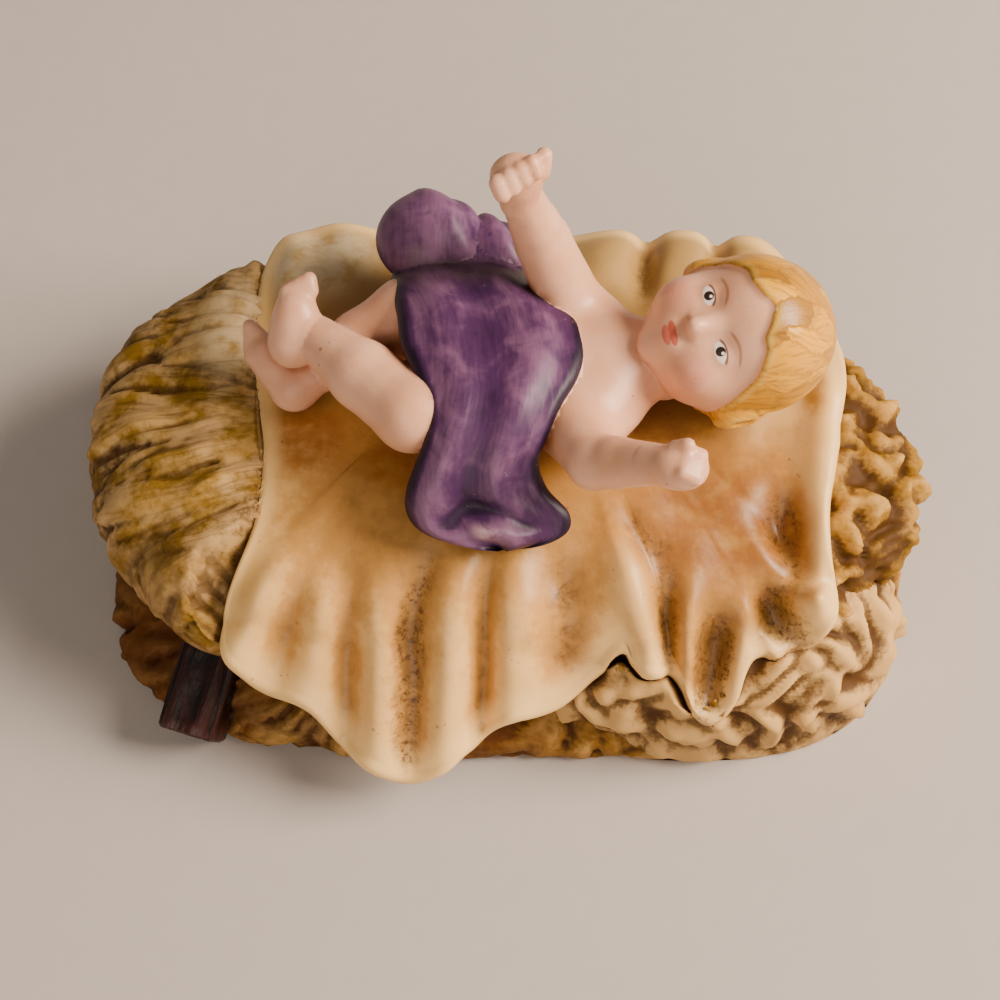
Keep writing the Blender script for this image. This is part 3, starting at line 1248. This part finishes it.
class Paint:
    """A material, with short ways to add the nodes that work out its colour."""

    def __init__(self, name, roughness, specular=0.5, coat=0.0, subsurface=0.0):
        self.material = bpy.data.materials.new(name)
        self.material.use_nodes = True
        self.tree = self.material.node_tree
        self.shader = self.tree.nodes["Principled BSDF"]
        constants = {
            "Roughness": roughness,
            "Specular IOR Level": specular,
            "Coat Weight": coat,
            "Coat Roughness": 0.25,
            "Subsurface Weight": subsurface,
            "Subsurface Radius": (1.0, 0.55, 0.35),
            "Subsurface Scale": 0.8 * MM,
        }
        for socket, value in constants.items():
            self.shader.inputs[socket].default_value = value
        self.places = self.add("ShaderNodeTexCoord").outputs["Object"]

    def add(self, kind, inputs=(), **settings):
        node = self.tree.nodes.new(kind)
        for name, value in settings.items():
            setattr(node, name, value)
        for socket, value in dict(inputs).items():
            self.feed(node.inputs[socket], value)
        return node

    def feed(self, socket, value):
        if isinstance(value, bpy.types.NodeSocket):
            self.tree.links.new(value, socket)
        else:
            socket.default_value = linear(value) if isinstance(value, str) else value

    def number(self, name):
        return self.add("ShaderNodeAttribute", attribute_name=name).outputs["Fac"]

    def vector(self, name):
        return self.add("ShaderNodeAttribute", attribute_name=name).outputs["Vector"]

    def split(self, vector):
        return self.add("ShaderNodeSeparateXYZ", {0: vector}).outputs

    def vectors(self, operation, *values):
        """Vector arithmetic; a length or a dot product comes out as a number."""
        node = self.add("ShaderNodeVectorMath", dict(enumerate(values)), operation=operation)
        return node.outputs["Value" if operation in ("LENGTH", "DOT_PRODUCT") else "Vector"]

    def math(self, operation, *values):
        """Arithmetic on numbers; with more values than two, it goes on from left to right."""
        total = self.add("ShaderNodeMath", dict(enumerate(values[:2])), operation=operation).outputs[0]
        return self.math(operation, total, *values[2:]) if len(values) > 2 else total

    def times(self, *values):
        return self.math("MULTIPLY", *values)

    def plus(self, *values):
        return self.math("ADD", *values)

    def minus(self, value, less):
        return self.math("SUBTRACT", value, less)

    def step(self, value, low, high):
        """0 below low, 1 above high and smooth between; high may be the lower of the two."""
        if low > high:
            return self.minus(1.0, self.step(value, high, low))
        node = self.add("ShaderNodeMapRange", {0: value, 1: low, 2: high}, interpolation_type="SMOOTHSTEP")
        return node.outputs[0]

    def band(self, value, rise, fall):
        """1 between two soft edges: one where it rises from 0, and one where it falls back."""
        return self.times(self.step(value, *rise), self.step(value, *fall))

    def part(self, name, edge):
        """1 on one part of the figurine; the edge is where it ends on the way to the next part's number."""
        code = PART_CODES[name]
        low, high = code - edge, code + edge
        return self.band(self.number("part"), (low, low + 0.4), (high, high - 0.4))

    def noise(self, size_mm, detail=3.0, roughness=0.55, distortion=0.0):
        return self.add("ShaderNodeTexNoise", {
            "Vector": self.places,
            "Scale": 1.0 / (size_mm * MM),
            "Detail": detail,
            "Roughness": roughness,
            "Distortion": distortion,
        }).outputs[0]

    def mix(self, share, under, over):
        node = self.add("ShaderNodeMix", data_type="RGBA")
        self.feed(node.inputs[0], share)
        self.feed(node.inputs[6], under)
        self.feed(node.inputs[7], over)
        return node.outputs[2]

    def cover(self, colour, tint, mask, strength=1.0):
        """Lays the tint over the colour where the mask is 1."""
        return self.mix(mask if strength == 1.0 else self.times(mask, strength), colour, tint)

    def wash(self, colour, tint, value, low, high, strength=1.0):
        """Lays the tint over the colour where the value has passed from low to high."""
        return self.cover(colour, tint, self.step(value, low, high), strength)

    def strands(self, flow, width_mm, length_mm):
        """Fine uneven lines along the flow, from 0 to 1."""
        places = self.vectors("MULTIPLY", flow, (1.0 / width_mm, 1.0 / length_mm, 0.0))
        return self.add("ShaderNodeTexNoise", {"Vector": places, "Scale": 1.0, "Detail": 2.0}).outputs[0]

    def speckle(self, colour, dirt, size_mm, amount, seed=0.0):
        """Scattered specks of dirt, each a little different in size."""
        places = self.vectors("ADD", self.places, (seed, seed, seed))
        cells = self.add("ShaderNodeTexVoronoi", {"Vector": places, "Scale": 1.0 / (size_mm * MM)})
        size = self.times(self.split(cells.outputs["Color"])[0], 0.22)
        keep = self.step(self.noise(5.0), 0.46, 0.68)
        inside = self.math("LESS_THAN", cells.outputs["Distance"], self.times(size, keep))
        return self.cover(colour, dirt, inside, amount)

    def near(self, centre, half):
        """1 at a place seen from above, falling to 0 at the edge of an oval round it, all in millimetres."""
        at = self.vectors("SUBTRACT", self.places, (centre[0] * MM, centre[1] * MM, 0.0))
        away = self.vectors("MULTIPLY", at, (1 / (half[0] * MM), 1 / (half[1] * MM), 0.0))
        return self.step(self.vectors("LENGTH", away), 1.0, 0.35)

    def stained(self, colour, stains):
        """Lays washes over the colour: middle and half size seen from above, tint and strength of each."""
        ragged = self.step(self.noise(2.2, 5.0, roughness=0.6), 0.25, 0.6)
        for centre, half, tint, strength in stains:
            colour = self.cover(colour, tint, self.times(self.near(centre, half), strength, ragged))
        return colour

    def finish(self, colour, height=None, depth_mm=0.1):
        self.feed(self.shader.inputs["Base Color"], colour)
        if height is not None:
            bump = self.add("ShaderNodeBump", {"Height": height, "Distance": depth_mm * MM, "Strength": 1.0})
            self.feed(self.shader.inputs["Normal"], bump.outputs[0])
        return self.material


def head_places(paint):
    """Left, crown and face distances from the middle of the head, in millimetres."""
    moved = paint.vectors("SUBTRACT", paint.places, tuple((HEAD_CENTRE + PLAN_SHIFT) * MM))
    return [paint.vectors("DOT_PRODUCT", moved, tuple(axis / MM)) for axis in HEAD_AXES]


def oval_distance(paint, place, centre, radii):
    """1 on the edge of an oval on the face, less within it; the place is left and crown distances."""
    squares = []
    for at, middle, radius in zip(place, centre, radii):
        squares.append(paint.math("POWER", paint.math("DIVIDE", paint.minus(at, middle), radius), 2.0))
    return paint.math("SQRT", paint.plus(*squares))


# Painted patches of the face, alike on both sides: middle, half size, soft edge, tint and strength
EYE_SIZE = (1.0, 0.54)
FACE_PATCHES = [
    ((3.9, -3.6), (2.6, 2.2), (1.1, 0.1), "d98a72", 0.55),
    (EYE, EYE_SIZE, (1.06, 0.94), "efe3da", 1.0),
    ((EYE[0] - 0.05, EYE[1] + 0.02), (0.46, 0.48), (1.08, 0.92), "2b1a14", 1.0),
    ((0.42, MOUTH_LEVEL + 0.33), (0.78, 0.34), (1.15, 0.9), "c8503c", 0.9),
    ((0.0, MOUTH_LEVEL - 0.33), (0.95, 0.40), (1.15, 0.9), "d0614c", 0.85),
]


def face_paint(paint, colour, in_head):
    left, crown, front = head_places(paint)
    aside = paint.math("ABSOLUTE", left)
    facing = paint.times(in_head, paint.step(front, 3.0, 4.2))
    for centre, radii, edge, tint, strength in FACE_PATCHES:
        patch = paint.step(oval_distance(paint, (aside, crown), centre, radii), *edge)
        colour = paint.cover(colour, tint, paint.times(patch, facing), strength)
    for side in (-1, 1):
        glint = oval_distance(paint, (left, crown), (side * EYE[0] + 0.16, EYE[1] + 0.2), (0.15, 0.15))
        colour = paint.cover(colour, "f4efe8", paint.times(paint.step(glint, 1.2, 0.8), facing))
    eye = oval_distance(paint, (aside, crown), EYE, EYE_SIZE)
    above = paint.step(crown, EYE[1] + 0.05, EYE[1] + 0.25)
    lash = paint.times(paint.band(eye, (0.86, 1.0), (1.34, 1.16)), above, facing)
    colour = paint.cover(colour, "5b3524", lash, 0.85)
    arch = oval_distance(paint, (aside, crown), (EYE[0] + 0.05, EYE[1] - 1.2), (2.6, 3.0))
    above = paint.step(crown, EYE[1] + 1.15, EYE[1] + 1.5)
    brow = paint.times(paint.band(arch, (0.93, 0.98), (1.08, 1.02)), above, facing)
    return paint.cover(colour, "8a5a3a", brow, 0.6)


def skin_paint():
    paint = Paint("bisque_skin", roughness=0.37, specular=0.5, subsurface=0.12)
    hollow = paint.number("hollow")
    ridge = paint.number("ridge")
    colour = paint.mix(paint.step(paint.noise(6.0), 0.35, 0.7), "ebb492", "dfa37e")
    colour = paint.wash(colour, "a76236", hollow, 0.10, 0.75)
    in_head = paint.part("head", 0.7)
    colour = face_paint(paint, colour, in_head)
    flow = paint.vector("flow")
    hair = paint.times(in_head, paint.step(paint.split(flow)[2], 0.25, 0.6))
    strand = paint.strands(flow, 0.34, 3.0)
    gold = paint.mix(paint.step(paint.number("tone"), -1.0, 0.8), "9c6600", "eaa60a")
    gold = paint.wash(gold, "8a5c0e", strand, 0.52, 0.32, 0.55)
    gold = paint.wash(gold, "f5cc5c", ridge, 0.1, 0.9, 0.5)
    gold = paint.wash(gold, "7f5314", ridge, -0.1, -0.9)
    gold = paint.wash(gold, "7c4c17", hollow, 0.15, 0.7)
    colour = paint.cover(colour, gold, hair)
    colour = paint.speckle(colour, "5a3c2c", 1.1, 0.5)
    height = paint.plus(paint.times(strand, hair, 0.5), paint.times(paint.noise(0.25, 2.0), 0.12))
    return paint.finish(colour, height, 0.12)


def violet_paint():
    paint = Paint("violet_cloth", roughness=0.46, specular=0.35)
    flow = paint.vector("flow")
    fine = paint.strands(flow, 0.45, 2.5)
    brushed = paint.strands(flow, 1.6, 4.5)
    patch = paint.noise(3.0, 4.0, distortion=0.6)
    worn = paint.split(flow)[2]
    for uneven, amount in ((patch, 2.0), (brushed, 1.3), (fine, 0.6)):
        worn = paint.plus(worn, paint.times(paint.minus(uneven, 0.5), amount))
    colour = paint.mix(paint.step(worn, -1.3, -0.3), "1c0926", "42214a")
    colour = paint.wash(colour, "755070", worn, -0.35, 0.8)
    colour = paint.wash(colour, "ab8998", worn, 0.9, 1.9, 0.7)
    from_knob = paint.vectors("ADD", flow, (-FRONT_KNOB[0], -FRONT_KNOB[1] * CLOTH_RUN, 0.0))
    from_knob = paint.vectors("LENGTH", paint.vectors("MULTIPLY", from_knob, (1.0, 1.0, 0.0)))
    shine = paint.times(paint.step(from_knob, 2.2, 0.4), paint.step(patch, 0.35, 0.6))
    colour = paint.cover(colour, "d3adb2", shine, 0.75)
    colour = paint.wash(colour, "1c0a26", paint.number("ridge"), -0.2, -0.9, 0.7)
    colour = paint.wash(colour, "1a0b20", paint.number("hollow"), 0.14, 0.55)
    behind = paint.split(paint.places)[1]
    waist = paint.band(behind, (9.5 * MM, 12.5 * MM), (16.0 * MM, 13.0 * MM))
    dust = paint.times(waist, paint.step(paint.noise(1.4, 6.0, roughness=0.7), 0.36, 0.6))
    colour = paint.cover(colour, "5c4748", dust, 0.65)
    colour = paint.speckle(colour, "a08c8a", 0.7, 0.2)
    return paint.finish(colour, fine, 0.04)


# Washes of colour: middle and half size seen from above in millimetres, tint and strength
SHEET_STAINS = [
    ((-20.0, 0.5), (6.0, 5.5), "a8601a", 0.75),
    ((-11.0, -2.5), (4.0, 4.0), "9c5a1c", 0.65),
    ((21.0, -8.5), (12.0, 9.0), "8c5218", 0.8),
    ((30.2, 4.5), (1.8, 4.0), "a87414", 0.85),
    ((-20.0, 23.0), (9.0, 8.0), "dccba6", 0.75),
]
STRAW_STAINS = [
    ((-27.5, 14.5), (6.0, 9.0), "d8c094", 0.8),
    ((-35.0, -13.0), (8.0, 9.0), "4a2a02", 0.55),
]


def sheet_paint():
    paint = Paint("ivory_sheet", roughness=0.38, specular=0.4, subsurface=0.06)
    hollow = paint.number("hollow")
    reach, fold, dirt = paint.split(paint.vector("flow"))
    x, y, _ = paint.split(paint.places)
    mottle = paint.minus(paint.noise(1.3, 5.0, roughness=0.65), 0.5)
    depth = paint.plus(
        paint.times(paint.step(fold, 0.8, -1.5), 0.5),
        paint.times(paint.step(paint.number("swell"), 0.4, -0.9), 0.2),
        paint.times(paint.step(reach, 1.0, 0.4), 0.65),
        paint.times(paint.step(x, 4 * MM, 20 * MM), 0.5),
        paint.times(paint.step(hollow, 0.08, 0.6), 0.4),
        paint.minus(paint.noise(7.0, 4.0), 0.5),
        paint.times(mottle, 0.8),
    )
    colour = paint.mix(paint.step(depth, 0.0, 0.5), "e9b86c", "cb934a")
    colour = paint.wash(colour, "aa7a3a", depth, 0.45, 1.0)
    colour = paint.wash(colour, "805a2a", depth, 1.0, 1.6)
    colour = paint.wash(colour, "f0c680", fold, 0.5, 1.8, 0.5)
    colour = paint.wash(colour, "a08048", y, 11 * MM, 18 * MM, 0.7)
    colour = paint.stained(colour, SHEET_STAINS)
    colour = paint.wash(colour, "ffd488", reach, 0.92, 0.99, 0.7)
    soiled = paint.plus(dirt, paint.times(paint.step(depth, 0.6, 1.3), 0.4))
    colour = paint.wash(colour, "7c5628", paint.plus(soiled, paint.times(mottle, 2.4)), 0.4, 1.4, 0.6)
    specks = paint.step(paint.noise(0.6, 6.0, roughness=0.75), 0.50, 0.60)
    colour = paint.cover(colour, "4c280c", paint.times(specks, paint.step(soiled, 0.4, 1.0)), 0.75)
    colour = paint.wash(colour, "7a4318", hollow, 0.5, 0.95, 0.7)
    colour = paint.speckle(colour, "5d3512", 0.9, 0.4, 0.013)
    return paint.finish(colour, paint.times(paint.noise(0.5), 0.2), 0.1)


def straw_paint():
    paint = Paint("painted_straw", roughness=0.66, specular=0.22)
    flow = paint.vector("flow")
    combed = paint.split(flow)[2]
    strand = paint.strands(flow, 0.55, 4.0)
    x, _, z = paint.split(paint.places)
    right = paint.step(paint.plus(x, paint.times(paint.noise(5.0), 8 * MM)), -2 * MM, 12 * MM)
    mottle = paint.minus(paint.noise(1.0, 6.0, roughness=0.7), 0.5)
    worn = paint.plus(paint.number("tone"), paint.times(mottle, 2.0))
    golden = paint.mix(right, "8c680f", "8c6408")
    pale = paint.mix(right, "bc9862", "ad8036")
    deep = paint.mix(right, "462804", "452802")
    colour = paint.mix(paint.step(paint.noise(4.0, 4.0), 0.38, 0.60), golden, pale)
    colour = paint.cover(colour, "e3b877", paint.part("spill", 0.5), 0.7)
    colour = paint.cover(colour, "7a500a", paint.part("base", 0.5), 0.6)
    colour = paint.wash(colour, "dcae62", worn, 0.3, 1.2, 0.5)
    colour = paint.cover(colour, "5f3f14", paint.times(paint.step(strand, 0.50, 0.32), combed), 0.38)
    colour = paint.wash(colour, deep, worn, 0.35, -0.65, 0.92)
    colour = paint.wash(colour, deep, paint.number("ridge"), 0.0, -0.8, 0.6)
    colour = paint.stained(colour, STRAW_STAINS)
    shaded = paint.minus(0.75, paint.times(right, 0.6))
    unlit = paint.minus(1.0, paint.times(paint.near((-17.0, -23.0), (13.0, 9.0)), 0.85))
    colour = paint.cover(colour, "5a2c00", paint.times(paint.step(z, 16 * MM, 6 * MM), shaded, unlit))
    colour = paint.wash(colour, "2a1305", paint.number("hollow"), 0.2, 0.75, 0.9)
    return paint.finish(colour, paint.times(strand, combed, 0.5), 0.12)


def wood_paint():
    paint = Paint("dark_wood", roughness=0.34, specular=0.35, coat=0.08)
    stretched = paint.vectors("MULTIPLY", paint.vector("flow"), (1.0, 0.12, 0.0))
    grain = paint.add("ShaderNodeTexNoise", {"Vector": stretched, "Scale": 2.4, "Detail": 4.0}).outputs[0]
    colour = paint.mix(paint.step(grain, 0.35, 0.7), "0d0302", "270906")
    colour = paint.wash(colour, "300e08", paint.number("ridge"), 0.2, 0.9)
    return paint.finish(colour, grain, 0.25)


# Putting the piece together

# The logs: name, middle of the foot and of the end under the bed
LOGS = [
    ("log_front", (-32.0, -21.9, 3.3), (-27.4, -8.0, 10.0)),
    ("log_back", (-29.0, 22.4, 3.6), (-22.0, 12.0, 12.0)),
    ("log_right", (29.5, 16.6, 3.6), (22.0, 8.0, 12.0)),
]


def figurine():
    bodies = [base_body(), core_body(), straw_bed(), straw_spill(), sheet_body()]
    bodies += [log_body(*log) for log in LOGS]
    bodies += baby_bodies()
    bodies += [small_cloth()] + [bunch_lobe(*lobe) for lobe in BUNCH_LOBES]
    piece = union_of([mesh_object(body) for body in bodies])
    piece.name = "painted_figurine"
    piece.data.name = "painted_figurine"
    paint_numbers(piece.data, bodies)
    piece.data.shade_smooth()
    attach(piece, "root")
    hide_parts("bisque_figurine")
    return piece


# The floor, the lights and the camera

CAMERA_TARGET = Vector((0.0, 0.0, 15 * MM))
CAMERA_DISTANCE = 204 * MM
CAMERA_ELEVATION = math.radians(60)
CAMERA_LENS = 72.0
TARGET_PIXEL = (507, 490)
PICTURE_SIZE = 1000

# The lights: name, place and size in metres, power and colour
LIGHTS = [
    ("window", (0.42, -0.02, 0.34), 0.28, 7.8, (1.0, 0.83, 0.68)),
    ("fill", (-0.12, -0.50, 0.30), 0.5, 1.7, (1.0, 0.86, 0.72)),
]


def floor():
    mesh = bpy.data.meshes.new("floor")
    half = 6.0
    corners = [(-half, -half, 0), (half, -half, 0), (half, half, 0), (-half, half, 0)]
    mesh.from_pydata(corners, [], [(0, 1, 2, 3)])
    paint = Paint("pale_floor", roughness=0.8, specular=0.2)
    mesh.materials.append(paint.finish(paint.mix(paint.noise(3.0, 4.0), "b8b0aa", "beb6b0")))
    piece = bpy.data.objects.new("floor", mesh)
    bpy.context.scene.collection.objects.link(piece)


def area_light(name, place, size, power, colour):
    light = bpy.data.lights.new(name, "AREA")
    light.size = size
    light.energy = power
    light.color = colour
    lamp = bpy.data.objects.new(name, light)
    lamp.location = place
    lamp.rotation_euler = (CAMERA_TARGET - Vector(place)).to_track_quat("-Z", "Y").to_euler()
    bpy.context.scene.collection.objects.link(lamp)


def lighting():
    for light in LIGHTS:
        area_light(*light)
    world = bpy.data.worlds.new("soft_room")
    world.use_nodes = True
    background = world.node_tree.nodes["Background"]
    background.inputs["Color"].default_value = (1.0, 0.87, 0.76, 1.0)
    background.inputs["Strength"].default_value = 0.21
    bpy.context.scene.world = world


def camera():
    data = bpy.data.cameras.new("camera")
    data.sensor_width = 36.0
    data.lens = CAMERA_LENS
    data.shift_x = (PICTURE_SIZE / 2 - TARGET_PIXEL[0]) / PICTURE_SIZE
    data.shift_y = (TARGET_PIXEL[1] - PICTURE_SIZE / 2) / PICTURE_SIZE
    data.clip_start = 0.01
    piece = bpy.data.objects.new("camera", data)
    away = Vector((0.0, -math.cos(CAMERA_ELEVATION), math.sin(CAMERA_ELEVATION)))
    piece.location = CAMERA_TARGET + away * CAMERA_DISTANCE
    piece.rotation_euler = (-away).to_track_quat("-Z", "Y").to_euler()
    bpy.context.scene.collection.objects.link(piece)
    bpy.context.scene.camera = piece


MATERIALS = {
    "skin": skin_paint(),
    "violet_cloth": violet_paint(),
    "sheet": sheet_paint(),
    "straw": straw_paint(),
    "wood": wood_paint(),
}

camera()
lighting()
floor()
figurine()
